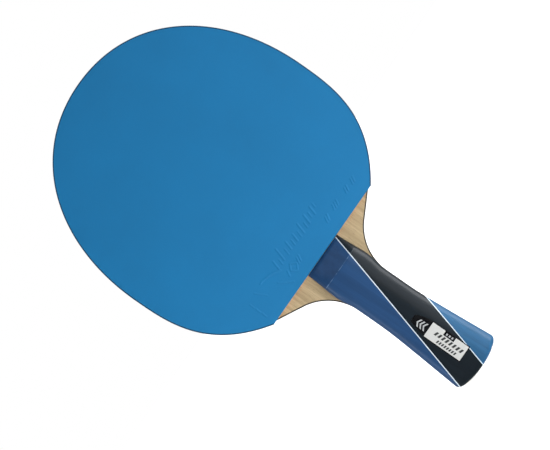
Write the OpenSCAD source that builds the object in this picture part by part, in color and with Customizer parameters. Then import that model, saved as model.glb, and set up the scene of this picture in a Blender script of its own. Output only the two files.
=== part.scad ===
// Table tennis paddle with a flared, laminated handle.
// The paddle stands on its butt end: +Z runs from the butt to the head, the front (blue)
// playing face looks along -Y, and +X is to the right when the front face is seen.

/* [Blade] */
// Overall length of the wooden blade, from the butt to the top of the head
blade_length = 256.6; // [240:0.1:270]
// Greatest width of the wooden head
blade_width = 150; // [140:0.5:160]
// Height of the widest line above the butt
widest_height = 168; // [164:0.5:172]
// Thickness of the core ply
core_thickness = 3.1; // [2.2:0.1:4]
// Thickness of each inner ply
inner_thickness = 0.6; // [0.4:0.1:1]
// Thickness of each woven carbon ply
carbon_thickness = 0.15; // [0.1:0.05:0.3]
// Thickness of each outer ply
face_thickness = 0.6; // [0.4:0.1:1]

/* [Wings] */
// Slope of the straight stretch where the head runs down to the handle
wing_slope = 28; // [25:0.5:30]
// Distance from the axis to the wing line at the lower edge of the covering
wing_reach = 42.2; // [40:0.1:43]
// Radius of the hollow between wing and handle
wing_radius = 28; // [24:0.5:31]

/* [Coverings] */
// Overhang of each covering past the wooden edge
cover_overhang = 0.5; // [0.2:0.1:0.8]
// Height of the straight lower edge of each covering
cover_bottom = 101.3; // [100:0.1:102]
// Thickness of the dried glue film
glue_thickness = 0.1; // [0.05:0.05:0.2]
// Thickness of the sponge
sponge_thickness = 2; // [1.5:0.1:2.2]
// Thickness of the rubber topsheet with its pimples
topsheet_thickness = 1.7; // [1.5:0.1:1.8]

/* [Handle] */
// Width of the handle at its waist
waist_width = 26.1; // [25:0.1:27]
// Width that the flared butt would have without its rounded corners
butt_width = 33.3; // [31:0.1:35]
// Depth of each handle scale at the waist
waist_depth = 8.4; // [7.5:0.1:9]
// Depth of each handle scale at the butt
butt_depth = 9.6; // [9:0.1:10.5]
// Height at which the flare begins
flare_height = 57; // [54:1:60]
// Extra half-width of the scales where the wings begin
neck_bulge = 1.2; // [0.6:0.1:1.5]
// Height of the crease above which the scales slope down to the blade
ramp_height = 89.8; // [88:0.1:91]
// Depth of each scale at the end of its slope
ramp_end_depth = 1.6; // [1:0.1:2.5]
// Roundness of the handle's section, 2 is an ellipse and higher is squarer
section_power = 2.7; // [2.3:0.1:3.2]
// Radius of the butt's rounded edge
butt_edge = 2.5; // [2:0.1:2.8]
// Radius of the gently crowned butt end
butt_crown = 55; // [50:1:70]

/* [Inlays] */
// Lean of the white inlay lines away from the handle's axis
inlay_lean = 15.4; // [14.5:0.1:16]
// Distance from the axis of the upper line, at half the handle's height
upper_inlay_offset = -2.35; // [-3:0.05:-1.8]
// Distance between the two lines, measured across the handle
inlay_spacing = 17.2; // [16.5:0.1:18]
// Thickness of the white veneers
inlay_thickness = 0.5; // [0.4:0.1:1]

/* [Badge] */
// Height of the badge's lower edge above the butt
badge_bottom = 11; // [10:0.1:12]
// Height of the top of the silver panel
panel_top = 34.1; // [33:0.1:35]
// Height of the badge's tip
badge_top = 44.2; // [43:0.1:45]
// Width of the badge's black plate
badge_width = 9.7; // [9:0.1:10]
// Border of black left around the silver panel
badge_border = 0.5; // [0.4:0.1:0.7]
// Thickness of the black plate, which lies in a pocket of the same depth
badge_plate = 0.35; // [0.3:0.05:0.45]
// Thickness of the silver panel
badge_foil = 0.15; // [0.1:0.05:0.2]

/* [Hidden] */

// Layers, as distances from the middle plane of the blade
core_half = core_thickness / 2;
inner_half = core_half + inner_thickness;
carbon_half = inner_half + carbon_thickness;
blade_half = carbon_half + face_thickness;
glue_half = blade_half + glue_thickness;
sponge_half = glue_half + sponge_thickness;
topsheet_half = sponge_half + topsheet_thickness;

// Head outline: two cubic curves per side, given by their end points and handle lengths
half_width = blade_width / 2 + cover_overhang;
top_height = blade_length + cover_overhang;
crown_pull = 0.62 * half_width;
shoulder_pull = 0.56 * (top_height - widest_height);
cheek_pull = 0.318 * (widest_height - cover_bottom);
corner_half = 0.588 * half_width;
corner_slope = 33.9;
corner_pull = 0.495 * half_width;
crown_steps = 30;
cheek_steps = 22;

// Handle
scale_top = cover_bottom - 0.3;
waist_half = waist_width / 2;
flare_blend = 16;
flare_length = flare_height - flare_blend / 2;
width_flare = (butt_width / 2 - waist_half) / flare_length;
depth_flare = (butt_depth - waist_depth) / flare_length;
neck_low = 71;
neck_middle = 82;
neck_return = 0.9;
crown_lift = pow(butt_width / 2 - butt_edge, 2) / (2 * butt_crown);
crown_rim = butt_width / 2 - butt_edge;
wing_centre_x = waist_half + wing_radius;
wing_centre_z = cover_bottom
    + ((wing_centre_x - wing_reach) * sin(wing_slope) - wing_radius) / cos(wing_slope);
wing_steps = 16;
flare_steps = 18;
section_steps = 24;
edge_steps = 5;
butt_steps = 8;
reach = 100;

// Inlays and badge
inlay_run = tan(inlay_lean);
inlay_half = inlay_thickness / cos(inlay_lean) / 2;
inlay_datum = 50;
lower_inlay_offset = upper_inlay_offset + inlay_spacing;
badge_half = badge_width / 2;
badge_datum = (badge_bottom + badge_top) / 2;
badge_tilt = atan(depth_flare);
badge_shoulder = panel_top - 1;
tip_right = 2.1;
tip_left = -1.9;
side_rise = badge_top - badge_shoulder;
side_bow = badge_half - tip_right;
side_radius = (side_rise * side_rise + side_bow * side_bow) / (2 * side_bow);
notch_low = 19.6;
notch_high = 26.2;
notch_depth = 2.5;

// Point at t on a cubic curve, moved by d along the outward normal
function cubic(a, b, c, d, t) =
    pow(1 - t, 3) * a + 3 * pow(1 - t, 2) * t * b + 3 * (1 - t) * t * t * c + t * t * t * d;
function cubic_slope(a, b, c, d, t) =
    pow(1 - t, 2) * (b - a) + 2 * (1 - t) * t * (c - b) + t * t * (d - c);
function moved(a, b, c, d, t, shift) =
    let (s = cubic_slope(a, b, c, d, t))
    cubic(a, b, c, d, t) + shift * [-s.y, s.x] / norm(s);

crown_start = [0, top_height];
crown_end = [half_width, widest_height];
corner = [corner_half, cover_bottom];
crown_curve = [crown_start, crown_start + [crown_pull, 0], crown_end + [0, shoulder_pull], crown_end];
cheek_curve = [
    crown_end, crown_end - [0, cheek_pull],
    corner + corner_pull * [cos(corner_slope), sin(corner_slope)], corner
];
function curve_point(k, t, shift) = moved(k[0], k[1], k[2], k[3], t, shift);

// Right side of the head from its top to its lower corner; a negative inset lies inside
function head_side(inset) = concat(
    [for (i = [0:crown_steps]) curve_point(crown_curve, i / crown_steps, inset)],
    [for (i = [1:cheek_steps]) curve_point(cheek_curve, i / cheek_steps, inset)]
);
function flip(points) = [for (i = [len(points) - 1:-1:0]) [-points[i].x, points[i].y]];

// Half-width and depth of the handle at height z, and the set-back of its rounded edge
function flare(z) =
    let (down = flare_height - z)
    down <= 0 ? 0 : down < flare_blend ? down * down / (2 * flare_blend) : down - flare_blend / 2;
function set_back(z) = z >= butt_edge ? 0 : butt_edge - sqrt(pow(butt_edge, 2) - pow(butt_edge - max(z, 0), 2));
function ease(t) = let (u = min(max(t, 0), 1)) u * u * (3 - 2 * u);
function handle_half(z) = waist_half + width_flare * flare(z) - set_back(z - crown_lift);
function bulge(z) = neck_bulge * (ease((z - neck_low) / (neck_middle - neck_low))
    - neck_return * ease((z - neck_middle) / (scale_top - neck_middle)));
function scale_half(z) = handle_half(z) + bulge(z);
function ramp_share(z) = 1 - (1 - ramp_end_depth / waist_depth)
    * max(z - ramp_height, 0) / (scale_top - ramp_height);
function scale_depth(z) = (waist_depth + depth_flare * flare(z) - set_back(z)) * ramp_share(z);

// Wing of the blade: a straight slope, the hollow, the flared handle and the crowned butt
function wing_line(x) = cover_bottom + (x - wing_reach) * tan(wing_slope);
function wing_side() = [
    for (i = [0:wing_steps])
        let (a = 90 + wing_slope + (90 - wing_slope) * i / wing_steps)
        [wing_centre_x + wing_radius * cos(a), wing_centre_z + wing_radius * sin(a)]
];
flare_low = crown_lift + butt_edge;
function handle_side() = concat(
    [for (i = [0:flare_steps])
        let (z = flare_height + (flare_low - flare_height) * i / flare_steps) [handle_half(z), z]],
    [for (i = [1:edge_steps])
        let (z = crown_lift + butt_edge * (1 - sin(90 * i / edge_steps))) [handle_half(z), z]]
);
function butt_side() = [
    for (i = [1:butt_steps])
        let (x = crown_rim * (1 - i / butt_steps)) [x, x * x / (2 * butt_crown)]
];
function head_above_wing() = [for (p = head_side(-cover_overhang)) if (p.y > wing_line(p.x)) p];
function blade_side() = concat(head_above_wing(), wing_side(), handle_side(), butt_side());

module blade_outline() {
    side = blade_side();
    inner = [for (i = [1:len(side) - 2]) side[i]];
    polygon(concat(side, flip(inner)));
}

module cover_outline() {
    side = head_side(0);
    inner = [for (i = [1:len(side) - 1]) side[i]];
    polygon(concat(side, flip(inner)));
}

module glue_outline() {
    intersection() {
        blade_outline();
        translate([-reach, cover_bottom]) square([2 * reach, 2 * reach]);
    }
}

// A flat layer between two distances in front of the middle plane
module layer(near, far) {
    translate([0, -near, 0]) rotate([90, 0, 0]) linear_extrude(far - near) children();
}

module to_rear() {
    rotate([0, 0, 180]) children();
}

module ply(near, far, tint) {
    color(tint) layer(near, far) blade_outline();
}

module core_ply() {
    color("burlywood") layer(-core_half, core_half) blade_outline();
}

module inner_ply() {
    ply(core_half, inner_half, "wheat");
}

module carbon_ply() {
    ply(inner_half, carbon_half, "dimgray");
}

module face_ply() {
    ply(carbon_half, blade_half, "tan");
}

module glue_film() {
    color("ivory") layer(blade_half, glue_half) glue_outline();
}

module sponge() {
    color("orange") layer(glue_half, sponge_half) cover_outline();
}

module topsheet(tint) {
    color(tint) layer(sponge_half, topsheet_half) cover_outline();
}

// Heights of the sections that the handle scale runs through
section_heights = concat(
    [for (i = [0:edge_steps]) butt_edge * (1 - cos(90 * i / edge_steps)) * 0.999],
    [for (i = [1:edge_steps]) butt_edge + crown_lift * i / edge_steps],
    [for (i = [1:flare_steps]) flare_low + (flare_height - flare_low) * i / flare_steps],
    [for (i = [1:3]) flare_height + (neck_low - flare_height) * i / 3],
    [for (i = [1:9]) neck_low + (ramp_height - neck_low) * i / 9],
    [for (i = [1:5]) ramp_height + (scale_top - ramp_height) * i / 5]
);

// One section: a half super-ellipse that stands on the front of the blade
function section(z) = [
    for (i = [0:section_steps])
        let (a = 180 * i / section_steps, c = cos(a), s = sin(a))
        [
            scale_half(z) * sign(c) * pow(abs(c), 2 / section_power),
            -blade_half - scale_depth(z) * pow(abs(s), 2 / section_power),
            z
        ]
];

module scale_solid() {
    ring = section_steps + 1;
    rings = len(section_heights);
    points = [for (z = section_heights) for (p = section(z)) p];
    skin = [for (k = [0:rings - 2]) for (i = [0:ring - 1])
        let (a = k * ring + i, b = k * ring + (i + 1) % ring)
        [a, b, b + ring, a + ring]];
    butt = [for (i = [ring - 1:-1:0]) i];
    head = [for (i = [0:ring - 1]) (rings - 1) * ring + i];
    polyhedron(points, concat(skin, [butt, head]), 4);
}

module butt_cut() {
    translate([0, 0, butt_crown]) rotate([90, 0, 0])
        cylinder(h = reach, r = butt_crown, center = true, $fn = 180);
    translate([-reach / 2, -reach / 2, butt_crown / 4]) cube([reach, reach, reach]);
}

// Slanted strip of the handle between two offsets from the inlays' datum
module strip(from, to) {
    low = -5;
    high = scale_top + 5;
    rotate([90, 0, 0]) linear_extrude(reach, center = true) polygon([
        [from + (low - inlay_datum) * inlay_run, low], [to + (low - inlay_datum) * inlay_run, low],
        [to + (high - inlay_datum) * inlay_run, high], [from + (high - inlay_datum) * inlay_run, high]
    ]);
}

module scale_strip(from, to) {
    intersection() {
        scale_solid();
        butt_cut();
        strip(from, to);
    }
}

module scale_left() {
    color("midnightblue") scale_strip(-reach / 2, upper_inlay_offset - inlay_half);
}

module inlay_upper() {
    color("white") scale_strip(upper_inlay_offset - inlay_half, upper_inlay_offset + inlay_half);
}

module scale_band() {
    color("#262d34") scale_strip(upper_inlay_offset + inlay_half, lower_inlay_offset - inlay_half);
}

module inlay_lower() {
    color("white") scale_strip(lower_inlay_offset - inlay_half, lower_inlay_offset + inlay_half);
}

module scale_right() {
    color("steelblue") scale_strip(lower_inlay_offset + inlay_half, reach / 2);
}

// Badge outline: straight sides, a bowed right shoulder and a tip that leans with the inlay
module badge_outline() {
    bow = [
        for (i = [0:6])
            let (z = badge_shoulder + side_rise * i / 6)
            [badge_half - side_radius + sqrt(pow(side_radius, 2) - pow(z - badge_shoulder, 2)), z]
    ];
    polygon(concat(
        [[-badge_half, badge_bottom], [badge_half, badge_bottom]], bow,
        [[tip_left, badge_top], [-badge_half, badge_shoulder]]
    ));
}

module panel_outline() {
    inner = badge_half - badge_border;
    polygon([
        [-inner, badge_bottom + badge_border], [inner, badge_bottom + badge_border],
        [inner, notch_low], [inner - notch_depth, notch_low],
        [inner - notch_depth, notch_high], [inner, notch_high],
        [inner, panel_top], [-inner, panel_top]
    ]);
}

// Lays a plate on the flared front of the handle, between two depths under its surface
module on_badge_seat(under, over) {
    translate([0, -blade_half - scale_depth(badge_datum), badge_datum]) rotate([-badge_tilt, 0, 0])
        rotate([90, 0, 0]) translate([0, -badge_datum, under]) linear_extrude(over - under) children();
}

module badge_pocket() {
    difference() {
        children();
        on_badge_seat(-badge_plate, 2) badge_outline();
    }
}

module badge_backing() {
    color("#15171a") on_badge_seat(-badge_plate, 0) badge_outline();
}

module badge_panel() {
    color("silver") on_badge_seat(0, badge_foil) panel_outline();
}

core_ply();
inner_ply();  // front_inner_ply
to_rear() inner_ply();  // rear_inner_ply
carbon_ply();  // front_carbon_ply
to_rear() carbon_ply();  // rear_carbon_ply
face_ply();  // front_face_ply
to_rear() face_ply();  // rear_face_ply
glue_film();  // front_glue_film
to_rear() glue_film();  // rear_glue_film
sponge();  // front_sponge
to_rear() sponge();  // rear_sponge
topsheet("#2a7ab5");  // front_topsheet
to_rear() topsheet("#1b1b1d");  // rear_topsheet
scale_left();  // front_scale_left
inlay_upper();  // front_inlay_upper
badge_pocket() scale_band();  // front_scale_band
badge_pocket() inlay_lower();  // front_inlay_lower
badge_pocket() scale_right();  // front_scale_right
to_rear() scale_left();  // rear_scale_left
to_rear() inlay_upper();  // rear_inlay_upper
to_rear() scale_band();  // rear_scale_band
to_rear() inlay_lower();  // rear_inlay_lower
to_rear() scale_right();  // rear_scale_right
badge_backing();
badge_panel();
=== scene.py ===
"""Table tennis paddle: the looks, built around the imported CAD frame.

Shapes are worked out in millimetres in the frame's own axes: x across the paddle, y through it
with the blue front at -y, z from the butt to the head. mesh_piece() turns them into metres."""

import math
import random

import bmesh
import bpy
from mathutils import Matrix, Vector, geometry

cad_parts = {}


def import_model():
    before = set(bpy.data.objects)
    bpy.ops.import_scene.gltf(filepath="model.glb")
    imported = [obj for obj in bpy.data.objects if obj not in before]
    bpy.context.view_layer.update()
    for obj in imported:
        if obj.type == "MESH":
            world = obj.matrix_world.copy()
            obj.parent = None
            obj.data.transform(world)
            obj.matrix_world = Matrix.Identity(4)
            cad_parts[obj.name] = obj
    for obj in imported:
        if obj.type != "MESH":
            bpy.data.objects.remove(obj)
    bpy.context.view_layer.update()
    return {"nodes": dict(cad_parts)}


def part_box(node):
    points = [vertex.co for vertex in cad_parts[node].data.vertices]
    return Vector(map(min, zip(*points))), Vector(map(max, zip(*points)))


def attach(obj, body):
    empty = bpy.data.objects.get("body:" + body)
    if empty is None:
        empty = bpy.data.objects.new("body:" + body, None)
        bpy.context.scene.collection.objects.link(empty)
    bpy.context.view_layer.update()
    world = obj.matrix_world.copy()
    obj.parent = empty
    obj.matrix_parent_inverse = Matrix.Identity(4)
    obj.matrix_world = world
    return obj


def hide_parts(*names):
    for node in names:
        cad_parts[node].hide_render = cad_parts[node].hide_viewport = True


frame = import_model()
MM = 0.001
SIGN = {"front": -1.0, "rear": 1.0}


# ---------------------------------------------------------------- dimensions from the frame
def span(node, axis):
    """Lowest and highest coordinate of a CAD node along one axis, in millimetres."""
    low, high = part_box(node)
    return low[axis] / MM, high[axis] / MM


X, Y, Z = 0, 1, 2
COVER_BOTTOM, COVER_TOP = span("front_topsheet", Z)
COVER_HALF = span("front_topsheet", X)[1]
BLADE_TOP = span("core_ply", Z)[1]
OVERHANG = COVER_TOP - BLADE_TOP
CORE_HALF = span("core_ply", Y)[1]
INNER_HALF = span("rear_inner_ply", Y)[1]
CARBON_HALF = span("rear_carbon_ply", Y)[1]
BLADE_HALF = span("rear_face_ply", Y)[1]
SPONGE_IN, SPONGE_OUT = span("rear_sponge", Y)
SHEET_OUT = span("rear_topsheet", Y)[1]
SCALE_TOP = span("front_scale_band", Z)[1]

# Head outline: where the widest line lies, and the pulls of its two cubic curves
WIDEST = 168.0
CROWN_PULL = 0.62 * COVER_HALF
SHOULDER_PULL = 0.56 * (COVER_TOP - WIDEST)
CHEEK_PULL = 0.318 * (WIDEST - COVER_BOTTOM)
CORNER_HALF = 0.588 * COVER_HALF
CORNER_SLOPE = math.radians(33.9)
CORNER_PULL = 0.495 * COVER_HALF

# Wings of the blade
WING_SLOPE = math.radians(28)
WING_REACH = 42.2
WING_RADIUS = 28.0
WING_SANDING = 0.6

# Handle
WAIST_HALF = 13.05
BUTT_HALF = 16.65
WAIST_DEPTH = 8.4
BUTT_DEPTH = 9.6
FLARE_HEIGHT = 57.0
FLARE_BLEND = 16.0
NECK_LOW, NECK_MIDDLE = 71.0, 82.0
NECK_BULGE = 1.2
NECK_RETURN = 0.9
RAMP_HEIGHT = 89.8
RAMP_END = 1.6
CREASE_ROUND = 0.07
CREASE_LINE = 0.28
SECTION_POWER = 2.7
BUTT_EDGE = 2.5
BUTT_CROWN = 55.0
CROWN_FADE = 30.0
SCALE_ROW = 0.5
SCALE_COLUMNS = 26

# How finely the outlines are divided, in steps or in millimetres
CURVE_STEPS = 400
HOLLOW_STEPS = 40
FLARE_STEPS = 60
EDGE_STEPS = 8
BUTT_STEPS = 24
FINE_STEP = 0.4
EDGE_STEP = 0.8

# White inlay lines
INLAY_LEAN = math.radians(15.4)
INLAY_RUN = math.tan(INLAY_LEAN)
INLAY_THICKNESS = 0.5
INLAY_HALF = INLAY_THICKNESS / 2 / math.cos(INLAY_LEAN)
INLAY_DATUM = 50.0
INLAY_SPACING = 17.2
UPPER_INLAY = -2.35
LOWER_INLAY = UPPER_INLAY + INLAY_SPACING


# ---------------------------------------------------------------- outlines
def cubic(k, t):
    """Point and outward normal at t on a cubic curve that runs clockwise."""
    u = 1 - t
    p = u**3 * k[0] + 3 * u * u * t * k[1] + 3 * u * t * t * k[2] + t**3 * k[3]
    d = u * u * (k[1] - k[0]) + 2 * u * t * (k[2] - k[1]) + t * t * (k[3] - k[2])
    return p, Vector((-d.y, d.x)).normalized()


def head_curves():
    """The right side's two cubic curves: from the top to the widest point, and on to the corner."""
    top = Vector((0, COVER_TOP))
    wide = Vector((COVER_HALF, WIDEST))
    corner = Vector((CORNER_HALF, COVER_BOTTOM))
    lean = Vector((math.cos(CORNER_SLOPE), math.sin(CORNER_SLOPE)))
    crown = (top, top + Vector((CROWN_PULL, 0)), wide + Vector((0, SHOULDER_PULL)), wide)
    cheek = (wide, wide - Vector((0, CHEEK_PULL)), corner + CORNER_PULL * lean, corner)
    return crown, cheek


def evenly(points, step):
    """Points (with whatever goes with them) picked along a dense line at about one step apart."""
    run = [0.0]
    for a, b in zip(points, points[1:]):
        run.append(run[-1] + (b[0] - a[0]).length)
    count = max(2, round(run[-1] / step))
    picked, i = [], 0
    for n in range(count + 1):
        goal = run[-1] * n / count
        while i < len(run) - 2 and run[i + 1] < goal:
            i += 1
        part = (goal - run[i]) / max(run[i + 1] - run[i], 1e-9)
        picked.append(tuple(a.lerp(b, part) for a, b in zip(points[i], points[i + 1])))
    return picked


def head_side(step):
    """Right side of the covering from its top to its lower corner: (point, outward normal)."""
    line = []
    for k in head_curves():
        line += [cubic(k, n / CURVE_STEPS) for n in range(CURVE_STEPS + 1)]
    return evenly(line, step)


def mirrored(points):
    """The left side that belongs to a right side, in running order."""
    return [(Vector((-p.x, p.y)), Vector((-n.x, n.y))) for p, n in reversed(points)]


def cover_loop(step):
    """Closed outline of a covering, clockwise from its top: (point, outward normal)."""
    side = head_side(step)
    corner = side[-1][0].x
    count = round(2 * corner / step)
    down = Vector((0, -1))
    foot = [(Vector((corner * (1 - 2 * n / count), COVER_BOTTOM)), down) for n in range(1, count)]
    return side + foot + mirrored(side)[:-1]


def flare(z):
    """How far down the flare a height lies, with a soft start."""
    down = FLARE_HEIGHT - z
    if down <= 0:
        return 0.0
    if down < FLARE_BLEND:
        return down * down / (2 * FLARE_BLEND)
    return down - FLARE_BLEND / 2


FLARE_LENGTH = FLARE_HEIGHT - FLARE_BLEND / 2
WIDTH_FLARE = (BUTT_HALF - WAIST_HALF) / FLARE_LENGTH
DEPTH_FLARE = (BUTT_DEPTH - WAIST_DEPTH) / FLARE_LENGTH


def set_back(z):
    """How far the butt's rounded edge draws the surface in."""
    if z >= BUTT_EDGE:
        return 0.0
    return BUTT_EDGE - math.sqrt(BUTT_EDGE**2 - (BUTT_EDGE - max(z, 0.0)) ** 2)


def ease(t):
    """0 below 0, 1 above 1, and a smooth rise between."""
    u = min(max(t, 0.0), 1.0)
    return u * u * (3 - 2 * u)


def handle_half(s):
    """Half-width of the handle at station s, which is the height less the butt's crown."""
    return WAIST_HALF + WIDTH_FLARE * flare(s) - set_back(s)


def bulge(s):
    """Extra half-width of the scales where the wings begin."""
    swell = ease((s - NECK_LOW) / (NECK_MIDDLE - NECK_LOW))
    back = ease((s - NECK_MIDDLE) / (SCALE_TOP - NECK_MIDDLE))
    return NECK_BULGE * (swell - NECK_RETURN * back)


def scale_half(s):
    """Half-width of a scale at station s."""
    return handle_half(s) + bulge(s)


def scale_depth(s):
    """Height of a scale's crown above the blade at station s, before its slope."""
    return WAIST_DEPTH + DEPTH_FLARE * flare(s) - set_back(s)


def crown_lift(x, s):
    """How far the crowned butt raises a point at x, fading out up the handle."""
    return x * x / (2 * BUTT_CROWN) * max(0.0, 1 - s / CROWN_FADE)


def wing_line(x):
    """Height of the straight stretch of the wing's edge at x."""
    return COVER_BOTTOM + (x - WING_REACH) * math.tan(WING_SLOPE)


def hollow():
    """The round hollow between wing and handle: (point, outward normal)."""
    centre_x = WAIST_HALF + WING_RADIUS
    centre_z = COVER_BOTTOM - WING_RADIUS / math.cos(WING_SLOPE)
    centre_z += (centre_x - WING_REACH) * math.tan(WING_SLOPE)
    turn = math.pi / 2 - WING_SLOPE
    line = []
    for n in range(HOLLOW_STEPS + 1):
        a = math.pi / 2 + WING_SLOPE + turn * n / HOLLOW_STEPS
        out = Vector((math.cos(a), math.sin(a)))
        line.append((Vector((centre_x, centre_z)) + WING_RADIUS * out, -out))
    return line


def grip_side():
    """Right side of the tang, from the start of the flare to the middle of the butt."""
    stations = [FLARE_HEIGHT * (1 - n / FLARE_STEPS) for n in range(FLARE_STEPS)]
    stations = [s for s in stations if s > BUTT_EDGE]
    stations += [BUTT_EDGE * (1 - math.sin(math.pi / 2 * n / EDGE_STEPS)) for n in range(EDGE_STEPS + 1)]
    line = []
    for s in stations:
        x = handle_half(s)
        tilt = math.pi / 2 * (1 - min(s / BUTT_EDGE, 1.0))
        line.append((Vector((x, s + crown_lift(x, s))), Vector((math.cos(tilt), -math.sin(tilt)))))
    rim = handle_half(0)
    for n in range(1, BUTT_STEPS + 1):
        x = rim * (1 - n / BUTT_STEPS)
        line.append((Vector((x, crown_lift(x, 0))), Vector((0, -1))))
    return line


def blade_side(step):
    """Right side of the wooden blade from its top to the middle of its butt."""
    line = [(p - OVERHANG * n, n) for p, n in head_side(FINE_STEP)]
    line = [(p, n) for p, n in line if p.y > wing_line(p.x)]
    return evenly(line + hollow() + grip_side(), step)


def blade_loop(step):
    """Closed outline of the blade and its tang, clockwise from the top: (point, outward normal)."""
    side = blade_side(step)
    return side + mirrored(side)[1:-1]


# ---------------------------------------------------------------- mesh helpers
def mesh_piece(name, vertices, faces, material, sharp=35, layers=None):
    """A new object from millimetre points; layers holds per-vertex values for the material."""
    mesh = bpy.data.meshes.new(name)
    mesh.from_pydata([Vector(v) * MM for v in vertices], [], faces)
    for key, values in (layers or {}).items():
        layer = mesh.attributes.new(key, "FLOAT", "POINT")
        layer.data.foreach_set("value", values)
    mesh.validate()
    mesh.polygons.foreach_set("use_smooth", [True] * len(mesh.polygons))
    mesh.set_sharp_from_angle(angle=math.radians(sharp))
    mesh.materials.append(material)
    piece = bpy.data.objects.new(name, mesh)
    bpy.context.scene.collection.objects.link(piece)
    return piece


def stand_for(piece, slot, *nodes):
    """The piece rides on the paddle's one body and hides its nodes; slot is not used."""
    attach(piece, "root")
    if nodes:
        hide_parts(*nodes)


def ring_faces(rings, count):
    """Quads between neighbouring rings of count points each."""
    return [
        (r * count + i, r * count + (i + 1) % count, (r + 1) * count + (i + 1) % count, (r + 1) * count + i)
        for r in range(rings - 1)
        for i in range(count)
    ]


def facing(faces, flipped):
    """The faces as they are, or turned over for a mirrored piece."""
    return [tuple(reversed(f)) for f in faces] if flipped else faces


def filled(loop, inner):
    """Triangles over a closed loop and loose inner points: (points, triangles, where each came from)."""
    count = len(loop)
    edges = [(i, (i + 1) % count) for i in range(count)]
    points, _, triangles, origins, _, _ = geometry.delaunay_2d_cdt(loop + inner, edges, [], 1, 1e-6)
    return points, triangles, origins


def slab(name, loops, material, flipped=False, sharp=35, layers=None):
    """A closed slab through loops of 3D points, from the first loop's cap to the last's."""
    count = len(loops[0])
    vertices = [v for loop in loops for v in loop]
    faces = ring_faces(len(loops), count)
    faces.append(tuple(reversed(range(count))))
    faces.append(tuple(range((len(loops) - 1) * count, len(loops) * count)))
    return mesh_piece(name, vertices, facing(faces, flipped), material, sharp, layers)


# ---------------------------------------------------------------- material helpers
class Shader:
    """A node material around one Principled shader, with short calls for its usual nodes."""

    def __init__(self, name, roughness, **fixed):
        self.material = bpy.data.materials.new(name)
        self.material.use_nodes = True
        self.tree = self.material.node_tree
        self.shader = self.tree.nodes["Principled BSDF"]
        self.shader.inputs["Roughness"].default_value = roughness
        for key, value in fixed.items():
            self.shader.inputs[key.replace("_", " ")].default_value = value
        self.place = self.node("ShaderNodeTexCoord").outputs["Object"]

    def node(self, kind, **settings):
        made = self.tree.nodes.new(kind)
        for key, value in settings.items():
            setattr(made, key, value)
        return made

    def join(self, source, target):
        self.tree.links.new(source, target)

    def stretched(self, size_x, size_y, size_z):
        """Object coordinates in cells of the given millimetre sizes."""
        mapping = self.node("ShaderNodeMapping")
        mapping.inputs["Scale"].default_value = tuple(1 / (s * MM) for s in (size_x, size_y, size_z))
        self.join(self.place, mapping.inputs["Vector"])
        return mapping.outputs["Vector"]

    def noise(self, place, detail=3.0, rough=0.5, warp=0.0):
        made = self.node("ShaderNodeTexNoise")
        made.inputs["Scale"].default_value = 1.0
        made.inputs["Detail"].default_value = detail
        made.inputs["Roughness"].default_value = rough
        made.inputs["Distortion"].default_value = warp
        self.join(place, made.inputs["Vector"])
        return made.outputs["Fac"]

    def cells(self, place):
        """Distance to the nearest of scattered cell centres."""
        made = self.node("ShaderNodeTexVoronoi")
        made.inputs["Scale"].default_value = 1.0
        self.join(place, made.inputs["Vector"])
        return made.outputs["Distance"]

    def attribute(self, name):
        """A per-vertex value that mesh_piece() stored."""
        return self.node("ShaderNodeAttribute", attribute_name=name).outputs["Fac"]

    def ranged(self, value, low, high, out_low=0.0, out_high=1.0):
        """A value taken smoothly from one range to another, and held at its ends."""
        made = self.node("ShaderNodeMapRange", interpolation_type="SMOOTHSTEP")
        self.join(value, made.inputs["Value"])
        limits = {"From Min": low, "From Max": high, "To Min": out_low, "To Max": out_high}
        for key, number in limits.items():
            made.inputs[key].default_value = number
        return made.outputs["Result"]

    def product(self, first, second):
        made = self.node("ShaderNodeMath", operation="MULTIPLY")
        self.join(first, made.inputs[0])
        self.join(second, made.inputs[1])
        return made.outputs["Value"]

    def ramp(self, value, *stops):
        """Colour from a value, by (position, colour) stops."""
        made = self.node("ShaderNodeValToRGB")
        elements = made.color_ramp.elements
        while len(elements) < len(stops):
            elements.new(0.5)
        for element, (position, colour) in zip(elements, stops):
            element.position = position
            element.color = (*colour, 1)
        self.join(value, made.inputs["Fac"])
        return made.outputs["Color"]

    def blend(self, amount, first, second):
        """Mix of two colour outputs or plain colours."""
        made = self.node("ShaderNodeMix", data_type="RGBA")
        self.join(amount, made.inputs[0])
        for socket, value in ((made.inputs[6], first), (made.inputs[7], second)):
            if isinstance(value, tuple):
                socket.default_value = (*value, 1)
            else:
                self.join(value, socket)
        return made.outputs[2]

    def colour(self, output):
        self.join(output, self.shader.inputs["Base Color"])

    def roughness(self, value, low, high):
        """Roughness that a noise moves from low to high."""
        self.join(self.ranged(value, 0.2, 0.8, low, high), self.shader.inputs["Roughness"])

    def bump(self, *layers):
        """Bump from (height, distance in millimetres) layers, one over the other."""
        last = None
        for height, distance in layers:
            made = self.node("ShaderNodeBump")
            made.inputs["Strength"].default_value = 1.0
            made.inputs["Distance"].default_value = distance * MM
            self.join(height, made.inputs["Height"])
            if last is not None:
                self.join(last, made.inputs["Normal"])
            last = made.outputs["Normal"]
        self.join(last, self.shader.inputs["Normal"])
        return self.material


def times(colour, factor):
    """A colour made lighter or darker."""
    return tuple(min(c * factor, 1.0) for c in colour)


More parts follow.
